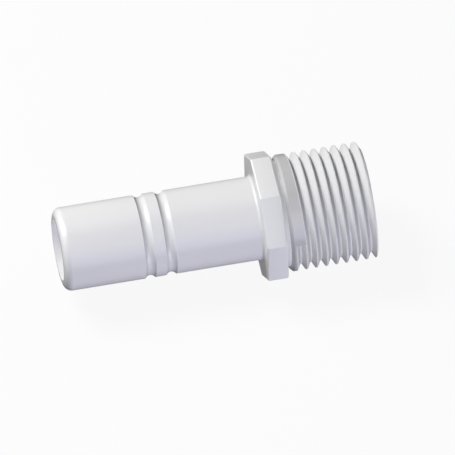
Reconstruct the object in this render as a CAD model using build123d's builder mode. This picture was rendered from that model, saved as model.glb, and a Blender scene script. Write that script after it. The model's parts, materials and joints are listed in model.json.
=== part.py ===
"""Push-in stem adaptor: a 15 mm plain stem with two ring grooves, an octagonal flange and a male
G 1/2 parallel pipe thread, moulded in one piece with a plain waterway through it.

Millimetres. +X runs along the waterway towards the thread, and +Z is up. The origin is on the
axis, in the plane of the flange's thread-side face, where a tapped port seats. One flat of the
octagon faces down.
"""

import os
from math import asin, ceil, cos, degrees, radians, sin, tan

from build123d import *

# Stem: the smooth end that a push-in socket grips.
stem_diameter = 15.0
stem_length = 35.85  # from the mouth to the flange
mouth_round = 1.5
stem_fillet = 0.5  # where the stem runs into the flange, taken as one straight cut

# Waterway, straight through.
bore_diameter = 11.0

# Ring grooves in the stem, each a shallow arc with sharp lips.
groove_count = 2
groove_width = 1.85
groove_depth = 0.5
first_groove = 15.5  # from the mouth to the middle of the first groove
groove_spacing = 3.8

# Octagonal flange, which a spanner turns.
flange_sides = 8
across_flats = 22.0
flange_thickness = 3.75
rim_chamfer = 0.3

# Undercut between the flange and the collar that the thread is cut from.
undercut_diameter = 19.0
undercut_width = 0.85
collar_chamfer = 0.5

# Male thread: G 1/2, 14 threads per inch, 55 degree form, right-hand and parallel.
thread_diameter = 20.955
thread_pitch = 25.4 / 14
flank_angle = 27.5  # each flank leans this far from a plane across the axis
thread_end = 16.4  # from the seat face to the free end
end_chamfer = 0.2

# The thread groove begins square cut, at this distance from the seat face and this angle about
# +X, counted from +Y.
groove_start = 2.54
groove_start_angle = 164.4

# Each round of the turned outline is run in this many equal chords.
round_chords = 3

# Sizes that follow from the ones above.
stem_radius = stem_diameter / 2
undercut_radius = undercut_diameter / 2
thread_radius = thread_diameter / 2
flange_back = -flange_thickness
mouth = flange_back - stem_length
groove_arc = ((groove_width / 2) ** 2 + groove_depth**2) / (2 * groove_depth)
groove_half_angle = degrees(asin(groove_width / 2 / groove_arc))
groove_places = [mouth + first_groove + i * groove_spacing for i in range(groove_count)]

# The triangle between two flanks loses a sixth of its height at the crest and at the root.
triangle_height = thread_pitch / 2 / tan(radians(flank_angle))
thread_depth = triangle_height * 2 / 3
root_radius = thread_radius - thread_depth
half_root = thread_pitch / 12
cutter_clearance = 0.15  # the cutter stands this far out of the collar
half_cutter = half_root + (thread_depth + cutter_clearance) * tan(radians(flank_angle))
cutter_turns = 2
cutter_length = cutter_turns * thread_pitch
cutter_count = ceil((thread_end - groove_start + thread_pitch) / cutter_length)

os.makedirs("parts", exist_ok=True)


def arc_points(centre, radius, first_angle, last_angle):
    """Corners of the chords along an arc, both ends included. Angles count from +X, in degrees."""
    step = (last_angle - first_angle) / round_chords
    angles = [radians(first_angle + i * step) for i in range(round_chords + 1)]
    return [(centre[0] + radius * cos(a), centre[1] + radius * sin(a)) for a in angles]


# A few turns of the thread groove's cutter, about Z: a trapezium carried along a helix.
with BuildPart() as thread_cutter:
    with BuildLine() as groove_path:
        Helix(pitch=thread_pitch, height=cutter_length, radius=thread_radius)
    with BuildSketch(Plane.XZ) as groove_section:
        with BuildLine():
            Polyline(
                (root_radius, -half_root),
                (thread_radius + cutter_clearance, -half_cutter),
                (thread_radius + cutter_clearance, half_cutter),
                (root_radius, half_root),
                close=True,
            )
        make_face()
    sweep(path=groove_path.line, is_frenet=True)

# Cutters follow each other end to end, from the square start out through the free end.
start = radians(groove_start_angle)
cutter_planes = [
    Plane(
        origin=(groove_start + i * cutter_length, 0, 0),
        x_dir=(0, cos(start), sin(start)),
        z_dir=(1, 0, 0),
    )
    for i in range(cutter_count)
]

with BuildPart() as stem_adaptor:
    # Turned bar: the stem, then the undercut, the collar and the thread's blank.
    mouth_points = arc_points((mouth + mouth_round, stem_radius - mouth_round), mouth_round, 180, 90)
    groove_centres = [(x, stem_radius - groove_depth + groove_arc) for x in groove_places]
    groove_points = [
        point
        for centre in groove_centres
        for point in arc_points(centre, groove_arc, 270 - groove_half_angle, 270 + groove_half_angle)
    ]
    with BuildSketch(Plane.XZ) as half_section:
        with BuildLine():
            Polyline(
                (mouth, 0),
                *mouth_points,
                *groove_points,
                (flange_back - stem_fillet, stem_radius),
                (flange_back, stem_radius + stem_fillet),
                (flange_back, undercut_radius),
                (undercut_width, undercut_radius),
                (undercut_width, thread_radius - collar_chamfer),
                (undercut_width + collar_chamfer, thread_radius),
                (thread_end - end_chamfer, thread_radius),
                (thread_end, thread_radius - end_chamfer),
                (thread_end, 0),
                close=True,
            )
        make_face()
    revolve(axis=Axis.X)

    # Octagonal flange, with both rims chamfered.
    with BuildSketch(Plane.YZ.offset(flange_back)) as octagon:
        RegularPolygon(
            radius=across_flats / 2,
            side_count=flange_sides,
            major_radius=False,
            rotation=180 / flange_sides,
        )
    extrude(amount=flange_thickness)
    flange_faces = stem_adaptor.faces().filter_by(GeomType.PLANE).filter_by(Axis.X)
    flange_edges = flange_faces.edges().filter_by(GeomType.LINE)
    chamfer(flange_edges, length=rim_chamfer)

    # Waterway and thread.
    with Locations(Plane.YZ.offset(thread_end)):
        Hole(radius=bore_diameter / 2)
    for plane in cutter_planes:
        with Locations(plane):
            add(thread_cutter.part, mode=Mode.SUBTRACT)

stem_adaptor.part.label = "stem_adaptor"
export_step(stem_adaptor.part, "parts/stem_adaptor.step")
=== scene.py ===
# %% [markdown]
# # Push-in stem adaptor
#
# The object is a pipe fitting moulded in one piece of white plastic. A smooth stem with two ring
# grooves pushes into a socket, an octagonal flange takes a spanner, and a male pipe thread screws
# into a port. A straight waterway runs through it all.
#
# The CAD model gives its size and place. This lesson makes one finer mesh over it, from surfaces
# that are worked out with numpy, and then its plastic, its lights and its camera.

# %% Tools and the CAD frame
import json

import bmesh
import bpy
import numpy as np
from mathutils import Matrix, Vector

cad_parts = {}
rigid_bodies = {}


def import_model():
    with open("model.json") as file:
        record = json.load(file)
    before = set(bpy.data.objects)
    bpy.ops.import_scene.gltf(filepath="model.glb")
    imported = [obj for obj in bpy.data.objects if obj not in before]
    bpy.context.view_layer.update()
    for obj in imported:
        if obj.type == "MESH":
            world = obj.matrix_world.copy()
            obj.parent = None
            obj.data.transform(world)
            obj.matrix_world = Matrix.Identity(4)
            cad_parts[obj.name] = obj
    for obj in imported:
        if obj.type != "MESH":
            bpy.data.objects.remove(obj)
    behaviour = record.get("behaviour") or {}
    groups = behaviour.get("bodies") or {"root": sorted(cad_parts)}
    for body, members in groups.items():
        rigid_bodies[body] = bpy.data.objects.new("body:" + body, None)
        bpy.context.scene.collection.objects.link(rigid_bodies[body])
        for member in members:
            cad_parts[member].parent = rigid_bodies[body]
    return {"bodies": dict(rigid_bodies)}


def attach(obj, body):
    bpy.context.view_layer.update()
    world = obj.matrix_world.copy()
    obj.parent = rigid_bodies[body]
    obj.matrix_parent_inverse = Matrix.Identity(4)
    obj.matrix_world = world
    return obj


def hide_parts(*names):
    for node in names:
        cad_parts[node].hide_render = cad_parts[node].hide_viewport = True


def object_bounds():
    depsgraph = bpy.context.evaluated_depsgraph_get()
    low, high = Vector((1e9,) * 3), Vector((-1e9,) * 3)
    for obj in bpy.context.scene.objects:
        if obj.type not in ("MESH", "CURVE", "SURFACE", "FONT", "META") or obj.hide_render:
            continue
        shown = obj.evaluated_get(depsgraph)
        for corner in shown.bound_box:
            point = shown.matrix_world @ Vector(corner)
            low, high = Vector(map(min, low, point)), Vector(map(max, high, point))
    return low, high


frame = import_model()
cad_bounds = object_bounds()
print("CAD box from", tuple(cad_bounds[0]), "to", tuple(cad_bounds[1]))

# %% [markdown]
# ## Sizes
#
# X runs along the waterway towards the thread, and the origin is on the axis, in the flange's
# thread-side face. The overall reach comes from the CAD box, so the mesh can't drift away from it.
# The other sizes are the fitting's own drawing sizes, in metres.

# %% Driving sizes
MM = 0.001
TURN = 2 * np.pi

mouth = cad_bounds[0].x
thread_end = cad_bounds[1].x
across_flats = 2 * cad_bounds[1].z

stem_radius = 7.5 * MM
bore_radius = 5.5 * MM
mouth_round = 1.5 * MM
stem_fillet = 0.5 * MM

groove_centres = (mouth + 15.5 * MM, mouth + 19.3 * MM)
groove_width = 1.85 * MM
groove_depth = 0.5 * MM

flange_back = -3.75 * MM
rim_round = 0.3 * MM
corner_round = 0.3 * MM
least_round = 0.02 * MM
flange_sides = 8

undercut_radius = 9.5 * MM
undercut_end = 0.85 * MM
collar_chamfer = 0.5 * MM

thread_radius = 20.955 / 2 * MM
pitch = 25.4 / 14 * MM
flank_angle = np.radians(27.5)
groove_start = 2.54 * MM
start_angle = np.radians(164.4)
end_chamfer = 0.2 * MM
print(f"Fitting {thread_end - mouth:.4f} m long, {across_flats:.4f} m across its flats")

# %% [markdown]
# ## Angles round the axis
#
# Every surface of the fitting is a set of rings about the X axis, and all rings share one list of
# angles. That lets neighbouring surfaces meet point for point, so the mesh closes with no gaps.
# The list is even, with six more angles close to each corner of the octagon and one where the
# thread begins.

# %% Shared angles
even_steps = 256
corner_angles = TURN / flange_sides * (np.arange(flange_sides) + 0.5)
corner_spread = np.radians([-1.1, -0.75, -0.4, 0.4, 0.75, 1.1])
angles = np.concatenate(
    [
        np.arange(even_steps) * TURN / even_steps,
        (corner_angles[:, None] + corner_spread).ravel(),
        [start_angle],
    ]
)
angles = np.unique(np.round(angles, 9))
print(len(angles), "angles round the axis")

# %% [markdown]
# ## Rings and arcs
#
# A turned shape is a profile carried round the axis: each profile point (x, r) becomes a ring
# (x, r cos a, r sin a). Rounds in the profile are true arcs, short ones in few steps and long ones
# in more.


# %% Helpers for turned shapes
def rings(x, r):
    """Rings about the X axis. x and r are columns with a value per ring, or grids with one per
    ring and angle. The point at angle a is (x, r cos a, r sin a)."""
    x, r, a = np.broadcast_arrays(x, r, angles)
    return np.stack([x, r * np.cos(a), r * np.sin(a)], axis=-1)


def arc(centre, radius, first, last, steps):
    """Profile points (x, r) on a circle about centre, from angle first to last in degrees.
    The point at angle t is centre + radius (cos t, sin t)."""
    t = np.radians(np.linspace(first, last, steps + 1))
    return np.stack([centre[0] + radius * np.cos(t), centre[1] + radius * np.sin(t)], axis=-1)


# %% [markdown]
# ## Waterway, mouth and stem
#
# This profile starts inside, at the thread's end of the bore, comes out of the mouth round its
# large soft edge, and runs along the stem to the flange. Each ring groove is a shallow arc whose
# lips stay sharp, because the mould parts cleanly there. The stem meets the flange in a small
# fillet.

# %% Stem profile
groove_arc = ((groove_width / 2) ** 2 + groove_depth**2) / (2 * groove_depth)
groove_half_angle = np.degrees(np.arcsin(groove_width / 2 / groove_arc))
bore_x = np.linspace(thread_end, mouth, 15)
bore_profile = np.stack([bore_x, np.full_like(bore_x, bore_radius)], axis=-1)
mouth_profile = arc((mouth + mouth_round, stem_radius - mouth_round), mouth_round, 180, 90, 20)
groove_profiles = [
    arc(
        (x, stem_radius - groove_depth + groove_arc),
        groove_arc,
        270 - groove_half_angle,
        270 + groove_half_angle,
        14,
    )
    for x in groove_centres
]
fillet_profile = arc(
    (flange_back - stem_fillet, stem_radius + stem_fillet), stem_fillet, 270, 360, 8
)
stem_profile = np.concatenate([bore_profile, mouth_profile, *groove_profiles, fillet_profile])
stem_rings = rings(stem_profile[:, :1], stem_profile[:, 1:])
print("Stem and waterway:", stem_rings.shape[0], "rings")

# %% [markdown]
# ## Octagonal flange
#
# A round cornered octagon also has one radius at every angle. Near the middle of a flat the
# radius is h / cos d, where h is half the size across flats and d the angle from the flat's
# middle. Near a corner it is where the ray from the axis meets the corner's small circle. The
# rims are rounded by moving the flats inwards, ring by ring, on a quarter circle.


# %% Octagon
def octagon_radius(inset):
    """Radius of the octagon at every angle, with its flats moved inwards by inset.
    On a flat it is h / cos(d). On a corner it is c cos(e) + sqrt(k^2 - c^2 sin(e)^2), with c the
    distance to the corner circle's centre, k its radius and e the angle from the corner."""
    half_side = TURN / flange_sides / 2
    h = across_flats / 2 - inset
    k = np.maximum(corner_round - inset, least_round)
    to_flat = (angles + half_side) % (2 * half_side) - half_side
    to_corner = half_side - np.abs(to_flat)
    c = (h - k) / np.cos(half_side)
    flat = h / np.cos(to_flat)
    corner = c * np.cos(to_corner) + np.sqrt(np.maximum(k**2 - (c * np.sin(to_corner)) ** 2, 0))
    on_corner = h * np.tan(np.abs(to_flat)) > (h - k) * np.tan(half_side)
    return np.where(on_corner, corner, flat)


rim = np.radians(np.linspace(0, 90, 7))[:, None]
back_rim = rings(
    flange_back + rim_round * (1 - np.cos(rim)), octagon_radius(rim_round * (1 - np.sin(rim)))
)
front_rim = rings(-rim_round * (1 - np.sin(rim)), octagon_radius(rim_round * (1 - np.cos(rim))))
print("Flange:", back_rim.shape[0] + front_rim.shape[0], "rings")

# %% [markdown]
# ## Undercut and collar
#
# Behind the flange a narrow undercut gives a washer its seat. The collar rises from it in a
# short wall and a chamfer, and the thread is cut into the collar further along.

# %% Undercut and collar
start_x = groove_start - pitch / 2
collar_profile = np.array(
    [
        (0, undercut_radius),
        (undercut_end, undercut_radius),
        (undercut_end, thread_radius - collar_chamfer),
        (undercut_end + collar_chamfer, thread_radius),
        (start_x, thread_radius),
    ]
)
collar_rings = rings(collar_profile[:, :1], collar_profile[:, 1:])
print("Collar up to x =", round(start_x / MM, 3), "mm")

# %% [markdown]
# ## Thread
#
# The pipe thread has flanks at 27.5 degrees to a plane across the axis. The full triangle between
# two flanks is P / (2 tan 27.5), and the crest and the root each lose a sixth of it, so both are
# a sixth of the pitch wide. A moulded thread never has knife edges, so each edge gets a small
# blend.
#
# The best grid for a thread follows its helix: one direction runs along the helix and the other
# across one pitch. Edges of the crest then lie on grid lines and stay crisp.

# %% Thread section
triangle = pitch / 2 / np.tan(flank_angle)
depth = triangle * 2 / 3
half_flat = pitch / 12
edge_blend = 0.06 * MM
root_r = thread_radius - depth


def blended(corner, towards_first, towards_last, reach, steps=4):
    """A parabola that rounds a corner: (1-t)^2 a + 2 t (1-t) corner + t^2 b, where a and b lie
    the distance reach from the corner along its two sides."""
    t = np.linspace(0, 1, steps + 1)[:, None]
    a = corner + reach * towards_first
    b = corner + reach * towards_last
    return (1 - t) ** 2 * a + 2 * t * (1 - t) * corner + t**2 * b


up_flank = np.array([np.sin(flank_angle), np.cos(flank_angle)])
down_flank = up_flank * (1, -1)
along = np.array([1.0, 0.0])
half_mouth = half_flat + depth * np.tan(flank_angle)
section = np.concatenate(
    [
        [(-pitch / 2, thread_radius)],
        blended(np.array([-half_mouth, thread_radius]), -along, down_flank, edge_blend),
        blended(np.array([-half_flat, root_r]), -down_flank, along, edge_blend),
        [(0, root_r)],
        blended(np.array([half_flat, root_r]), -along, up_flank, edge_blend),
        blended(np.array([half_mouth, thread_radius]), -up_flank, along, edge_blend),
        [(pitch / 2, thread_radius)],
    ]
)
across = section[:, 0] / pitch + 0.5
across_r = section[:, 1]
print("Thread section:", len(section), "points,", round(depth / MM, 3), "mm deep")

# %% [markdown]
# The strip winds from the square start until it has passed the free end. Past the end its points
# are held at the end plane, on the section's radius at their own angle, where they fall together
# and are merged later.

# %% Thread strip
from_start = np.sort((angles - start_angle) % TURN)
lead_x = thread_end - end_chamfer
turns = int(np.ceil((lead_x - start_x) / pitch)) + 1
winding = np.concatenate([(from_start + TURN * np.arange(turns)[:, None]).ravel(), [TURN * turns]])


def thread_points(x, wound):
    """Points of the thread at places x and winding angles wound, which grow by a turn per pitch.
    The radius is the section's, at the part of a pitch by which x is past the strip's edge."""
    x, wound = np.broadcast_arrays(x, wound)
    part = (x - start_x) / pitch - wound / TURN
    r = np.interp(part % 1.0, across, across_r)
    a = start_angle + wound
    return np.stack([x, r * np.cos(a), r * np.sin(a)], axis=-1)


strip_x = start_x + pitch * (winding / TURN + across[:, None])
thread_strip = thread_points(np.minimum(strip_x, lead_x), winding)
print("Thread strip:", thread_strip.shape[0], "lines of", thread_strip.shape[1], "points")

# %% [markdown]
# Three small surfaces close the thread. A wedge of plain collar fills the space before the first
# turn, a flat square face starts the groove, and a few rings carry the section out through the
# end, under a slight chamfer, to the flat end face.

# %% Collar wedge, square start and free end
first_turn = winding[: len(angles) + 1]
wedge_x = start_x + pitch * first_turn / TURN * across[:, None]
wedge_a = np.broadcast_to(start_angle + first_turn, wedge_x.shape)
collar_wedge = np.stack(
    [wedge_x, thread_radius * np.cos(wedge_a), thread_radius * np.sin(wedge_a)], axis=-1
)
square_start = np.stack([collar_wedge[:, -1], thread_strip[:, 0]])

lead_steps = np.linspace(0, end_chamfer, 5)[:, None]
lead_rings = thread_points(lead_x + lead_steps, first_turn[:-1])
lead_r = np.hypot(lead_rings[..., 1], lead_rings[..., 2])
lead_rings[..., 1:] *= (np.minimum(lead_r, thread_radius - lead_steps) / lead_r)[..., None]
end_rings = np.stack([lead_rings[-1], lead_rings[-1]])
end_rings[1, :, 1:] *= (bore_radius / np.hypot(end_rings[1, :, 1], end_rings[1, :, 2]))[:, None]
print("Free end:", lead_rings.shape[0] + 1, "rings")

# %% [markdown]
# ## One closed mesh
#
# Each surface is a grid of points, and a grid's faces join every point to its neighbours. All
# grids go into one mesh, the points that fall together are merged, and the normals are made to
# point outwards. A closed mesh has exactly two faces at every edge, so the open edges are counted.
#
# The shading is smooth except across edges that turn by more than 25 degrees. That is less than
# the 27.5 between the last flank and the end face, so the end face stays flat.


# %% Grids to a mesh
def grid_faces(rows, columns, closed, first):
    """Quads of a grid: each joins (i, j), (i, j+1), (i+1, j+1) and (i+1, j), and j+1 wraps round
    on a closed grid. first is the index of the grid's first point."""
    i = np.arange(rows - 1)[:, None]
    j = np.arange(columns if closed else columns - 1)[None, :]
    k = (j + 1) % columns
    corners = [i * columns + j, i * columns + k, (i + 1) * columns + k, (i + 1) * columns + j]
    return first + np.stack(corners, axis=-1).reshape(-1, 4)


def mesh_of(name, grids):
    """One mesh from several grids, given as (points, closed) with points rows by columns by 3."""
    points, faces, first = [], [], 0
    for grid, closed in grids:
        points.append(grid.reshape(-1, 3))
        faces.append(grid_faces(grid.shape[0], grid.shape[1], closed, first))
        first += grid.shape[0] * grid.shape[1]
    points, faces = np.concatenate(points), np.concatenate(faces)
    mesh = bpy.data.meshes.new(name)
    mesh.vertices.add(len(points))
    mesh.vertices.foreach_set("co", points.astype(np.float32).ravel())
    mesh.loops.add(faces.size)
    mesh.loops.foreach_set("vertex_index", faces.astype(np.int32).ravel())
    mesh.polygons.add(len(faces))
    mesh.polygons.foreach_set("loop_start", np.arange(0, faces.size, 4, dtype=np.int32))
    mesh.update(calc_edges=True)
    return mesh


turned = np.concatenate([stem_rings, back_rim, front_rim, collar_rings])
fitting_mesh = mesh_of(
    "fitting",
    [
        (turned, True),
        (collar_wedge, False),
        (square_start, False),
        (thread_strip, False),
        (lead_rings, True),
        (end_rings, True),
    ],
)
merge_distance = 0.001 * MM
sharp_from = np.radians(25)
work = bmesh.new()
work.from_mesh(fitting_mesh)
bmesh.ops.remove_doubles(work, verts=work.verts, dist=merge_distance)
bmesh.ops.dissolve_degenerate(work, edges=work.edges, dist=merge_distance / 10)
bmesh.ops.recalc_face_normals(work, faces=work.faces)
open_edges = sum(not edge.is_manifold for edge in work.edges)
volume = work.calc_volume(signed=True)
work.to_mesh(fitting_mesh)
work.free()
fitting_mesh.shade_smooth()
fitting_mesh.set_sharp_from_angle(angle=sharp_from)
fitting_mesh.calc_loop_triangles()
print(
    f"{len(fitting_mesh.loop_triangles)} triangles, {open_edges} open edges, "
    f"volume {volume / MM**3:.1f} cubic millimetres"
)

# %% [markdown]
# ## The piece in the frame
#
# The object sits at the origin with its place in its mesh, stands for the CAD node and moves with
# the CAD body. Light that bounces from one flank of the thread to the next would fill the grooves
# and flatten them, so the fitting is hidden from its own bounced light. It still casts shadows.

# %% Piece
fitting = bpy.data.objects.new("fitting", fitting_mesh)
bpy.context.scene.collection.objects.link(fitting)
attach(fitting, list(frame["bodies"])[0])
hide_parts("stem_adaptor")
fitting.visible_diffuse = False

# %% [markdown]
# ## Shader maths
#
# A material is a tree of nodes. Written by hand, each sum or product takes several lines, so one
# small class wraps a socket and lets Python's own operators add the Math nodes. One method adds
# any other node. Two functions start a material and mix its colours.


# %% Wave: a socket that can be calculated with
class Wave:
    """A value in a material. Sums and products add Math nodes."""

    def __init__(self, tree, socket=None):
        self.tree, self.socket = tree, socket

    def node(self, kind, outlet=0, settings=None, **values):
        """Any node by type. Settings come first, then values or links. An underscore in a
        value's name stands for a space, and i with a number picks a socket by its place."""
        made = self.tree.nodes.new(kind)
        for key, value in (settings or {}).items():
            setattr(made, key, value)
        for key, value in values.items():
            name = key.replace("_", " ")
            inlet = made.inputs[int(name[1:]) if name[1:].isdigit() else name]
            if isinstance(value, Wave):
                self.tree.links.new(value.socket, inlet)
            else:
                inlet.default_value = value
        return Wave(self.tree, made.outputs[outlet] if made.outputs else None)

    def math(self, operation, *values):
        inputs = {f"i{index}": value for index, value in enumerate(values)}
        return self.node("ShaderNodeMath", settings={"operation": operation}, **inputs)

    def __add__(self, other):
        return self.math("ADD", self, other)

    def __mul__(self, other):
        return self.math("MULTIPLY", self, other)

    __radd__, __rmul__ = __add__, __mul__


def empty_material(name):
    """A material with no nodes but the object's own coordinates, and those as a Wave."""
    material = bpy.data.materials.new(name)
    material.use_nodes = True
    material.node_tree.nodes.clear()
    return material, Wave(material.node_tree).node("ShaderNodeTexCoord", outlet="Object")


def between(amount, dark, light):
    """The colour dark + amount (light - dark), by a Mix node. Its sockets 0, 6 and 7 are the
    factor and the two colours, and its outlet 2 is the mixed colour."""
    colours = {"i6": (*dark, 1), "i7": (*light, 1)}
    return amount.node(
        "ShaderNodeMix", outlet=2, settings={"data_type": "RGBA"}, i0=amount, **colours
    )


# %% [markdown]
# ## White moulded plastic
#
# The plastic is acetal: white with a faint cool tint, dense, and satin rather than glossy. Three
# things keep it from looking like a flat colour. Flow marks drift along the length where the melt
# filled the mould, the gloss wanders a little, and a very fine grain from the mould's steel breaks
# up the highlights.
#
# The stem and the flange have the mould's smooth skin. The thread is duller. The collar between
# them is the same plastic painted a darker grey, which is painted shade, and it has more shine. One
# recipe makes all three finishes.


# %% Plastic recipe
def plastic_finish(name, dark, light, gloss, grain_depth, shine):
    """A material of mottled plastic. Its colour lies between dark and light by a noise that is
    stretched along the part, and its roughness is gloss plus a little of a softer noise. The
    grain's bump and the strength of the highlights, grain_depth and shine, are constants."""
    material, place = empty_material(name)
    stretched = place.node("ShaderNodeMapping", Vector=place, Scale=(60, 260, 260))
    flow = place.node("ShaderNodeTexNoise", Vector=stretched, Scale=1.0, Detail=1.0)
    clouds = place.node("ShaderNodeTexNoise", Vector=place, Scale=120.0, Detail=0.0)
    grain = place.node("ShaderNodeTexNoise", Vector=place, Scale=9000.0, Detail=2.0)
    surface = place.node(
        "ShaderNodeBsdfPrincipled",
        Base_Color=between(flow * 0.6 + clouds * 0.4, dark, light),
        Roughness=clouds * 0.03 + gloss,
        Normal=place.node("ShaderNodeBump", Height=grain, Strength=grain_depth, Distance=0.02 * MM),
        IOR=1.48,
        Specular_IOR_Level=shine,
    )
    surface.node("ShaderNodeOutputMaterial", Surface=surface)
    return material


finishes = (
    plastic_finish("moulded_skin", (0.81, 0.81, 0.812), (0.83, 0.83, 0.833), 0.27, 0.04, 0.5),
    plastic_finish("thread_face", (0.78, 0.78, 0.782), (0.80, 0.80, 0.803), 0.40, 0.08, 0.1),
    # The collar's colour is painted shade: the same plastic, painted a darker grey.
    plastic_finish("collar_painted_shade", (0.56, 0.56, 0.562), (0.58, 0.58, 0.583), 0.22, 0.04, 0.8),
)
for finish in finishes:
    fitting_mesh.materials.append(finish)
print("Finishes:", ", ".join(finish.name for finish in finishes))

# %% [markdown]
# Each face takes its finish from where its centre lies. Outside the bore and past the undercut it
# is thread or collar, and the collar takes the plastic painted a darker grey as painted shade. The
# collar ends where the first turn of the thread begins, and that edge moves along by a pitch in
# one turn from the square start. A face's centre lies a little inside its edges, so each limit has
# a small allowance.

# %% Faces by finish
off_bore = 0.1 * MM
off_wall = 0.01 * MM
off_crest = 0.2 * half_flat
almost_turn = 0.999 * TURN

centres = np.empty(3 * len(fitting_mesh.polygons), dtype=np.float32)
fitting_mesh.polygons.foreach_get("center", centres)
x, y, z = centres.reshape(-1, 3).T
past_undercut = (np.hypot(y, z) > bore_radius + off_bore) & (x > undercut_end - off_wall)
wound_here = (np.arctan2(z, y) - start_angle) % TURN
before_thread = (x < start_x + pitch * wound_here / TURN - off_crest) & (wound_here < almost_turn)
# Index 2 marks the collar's faces, which take the painted shade.
choice = past_undercut.astype(np.int32) + (past_undercut & before_thread)
fitting_mesh.polygons.foreach_set("material_index", choice)
print("Faces by finish:", np.bincount(choice))

# %% [markdown]
# ## Camera
#
# The view is a long-lens product view with no visible perspective, so the camera is orthographic.
# It looks down at the fitting from the front, a little from the stem's side, and is rolled so that
# the axis climbs to the right. The middle of the axis falls on middle_pixel, counted from the
# image's top left corner.

# %% Camera
image_width = 455
pixels_per_mm = 5.632
elevation = np.radians(52.25)
turn_to_mouth = np.radians(6.15)
axis_tilt = np.radians(9.31)
middle_pixel = (212.65, 224.8)
camera_distance = 0.4

side = np.array([0, -np.cos(elevation), np.sin(elevation)])
to_camera = -np.sin(turn_to_mouth) * np.array([1, 0, 0]) + np.cos(turn_to_mouth) * side
along_view = np.array([1, 0, 0]) - to_camera[0] * to_camera
along_view /= np.linalg.norm(along_view)
over_view = np.cross(to_camera, along_view)
picture_right = np.cos(axis_tilt) * along_view - np.sin(axis_tilt) * over_view
picture_up = np.sin(axis_tilt) * along_view + np.cos(axis_tilt) * over_view

middle = np.array([(mouth + thread_end) / 2, 0, 0])
right_by = (image_width / 2 - middle_pixel[0]) / pixels_per_mm * MM
down_by = (image_width / 2 - middle_pixel[1]) / pixels_per_mm * MM
aim = middle + right_by * picture_right - down_by * picture_up

camera = bpy.data.objects.new("camera", bpy.data.cameras.new("camera"))
bpy.context.scene.collection.objects.link(camera)
camera.data.type = "ORTHO"
camera.data.ortho_scale = image_width / pixels_per_mm * MM
camera.data.clip_start, camera.data.clip_end = 0.01, 5
view_axes = Matrix(np.stack([picture_right, picture_up, to_camera], axis=1)).to_4x4()
camera.matrix_world = Matrix.Translation(aim + camera_distance * to_camera) @ view_axes
bpy.context.scene.camera = camera
print("Camera looks from", np.round(to_camera, 3))

# %% [markdown]
# ## Floor
#
# The fitting lies on plain white paper. Paper this bright would throw so much light back up that
# the thread's grooves would fill in, so only the camera sees it: its light doesn't reach the
# plastic. Most of its white is its own glow, which keeps the shadow on it pale. It lies a hair
# below the flange's lowest flat, because two faces in one plane would flicker.

# %% Floor
floor_reach = 1.5
floor_gap = 0.02 * MM
floor_z = cad_bounds[0].z - floor_gap
floor_corners = [
    (-floor_reach, -floor_reach, floor_z),
    (floor_reach, -floor_reach, floor_z),
    (floor_reach, floor_reach, floor_z),
    (-floor_reach, floor_reach, floor_z),
]
floor_mesh = bpy.data.meshes.new("floor")
floor_mesh.from_pydata(floor_corners, [], [(0, 1, 2, 3)])
floor = bpy.data.objects.new("floor", floor_mesh)
bpy.context.scene.collection.objects.link(floor)
floor.visible_diffuse = floor.visible_glossy = floor.visible_shadow = False

paper, sheet = empty_material("floor_paper")
fibres = sheet.node("ShaderNodeTexNoise", Vector=sheet, Scale=30.0)
paper_surface = sheet.node(
    "ShaderNodeBsdfPrincipled",
    Base_Color=between(fibres, (0.07, 0.07, 0.07), (0.08, 0.08, 0.08)),
    Roughness=0.9,
    Emission_Color=(1, 1, 1, 1),
    Emission_Strength=0.88,
)
paper_surface.node("ShaderNodeOutputMaterial", Surface=paper_surface)
floor_mesh.materials.append(paper)
print("Floor at z =", round(floor_z, 4))

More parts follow.
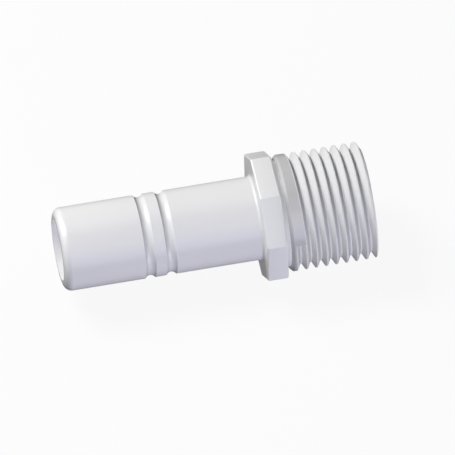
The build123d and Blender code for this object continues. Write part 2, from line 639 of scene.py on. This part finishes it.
# %% [markdown]
# ## Lights
#
# The key stands high behind the mouth, on the left. It lights every edge and flank that faces the
# mouth, and the flanks that face the other way stay dark: that is what draws the thread. A small
# light looks straight at the thread's end face, along the axis, so the crests in front keep it out
# of the grooves.
#
# The seven fills cast no shadow. They only lift what the key leaves dark, as a white tent round
# the table would, and those low in front are a little blue, which gives the lower half of the
# plastic its cool tint. The one below and the one behind give no highlight, because they would
# glare along the lower and upper edges.
#
# The surround is seen by the camera only. It is as white as the paper, so no horizon shows.


# %% Lights
light_distance = 0.5


def soft_light(name, azimuth, elevation, power, colour=(1, 1, 1), shadow=True, size=0.25):
    """A square light that faces the fitting. Azimuth 0 is in front (-Y) and 90 on the right (+X).
    Its direction is (sin a cos e, -cos a cos e, sin e)."""
    a, e = np.radians(azimuth), np.radians(elevation)
    direction = np.array([np.sin(a) * np.cos(e), -np.cos(a) * np.cos(e), np.sin(e)])
    lamp = bpy.data.objects.new(name, bpy.data.lights.new(name, "AREA"))
    bpy.context.scene.collection.objects.link(lamp)
    lamp.data.size = size
    lamp.data.energy = power
    lamp.data.color = colour
    lamp.data.use_shadow = shadow
    lamp.location = middle + light_distance * direction
    lamp.rotation_mode = "QUATERNION"
    lamp.rotation_quaternion = Vector(direction).to_track_quat("Z", "Y")


soft_light("key", 234, 56, 1.60)
soft_light("end", 91, 2, 0.90, size=0.08)
soft_light("fill_left", 238, 30, 1.42, shadow=False)
soft_light("fill_top", 0, 62, 0.20, shadow=False)
soft_light("fill_front", 0, 35, 0.54, shadow=False)
soft_light("fill_front_low", 0, 8, 0.66, (0.74, 0.74, 1.0), shadow=False)
soft_light("fill_right_low", 32, -24, 0.95, (0.92, 0.90, 1.0), shadow=False)
soft_light("fill_below", 0, -62, 0.26, (0.92, 0.90, 1.0), shadow=False)
soft_light("fill_rear_low", 180, -8, 0.54, shadow=False)
for name in ("fill_below", "fill_rear_low"):
    bpy.data.objects[name].visible_glossy = False

world = bpy.data.worlds.new("surround")
bpy.context.scene.world = world
world.use_nodes = True
background = world.node_tree.nodes["Background"]
background.inputs["Color"].default_value = (0.985, 0.985, 0.985, 1)
background.inputs["Strength"].default_value = 1.0
world.cycles_visibility.diffuse = world.cycles_visibility.glossy = False
bpy.context.scene.view_settings.view_transform = "Standard"
print(len(bpy.data.lights), "lights")
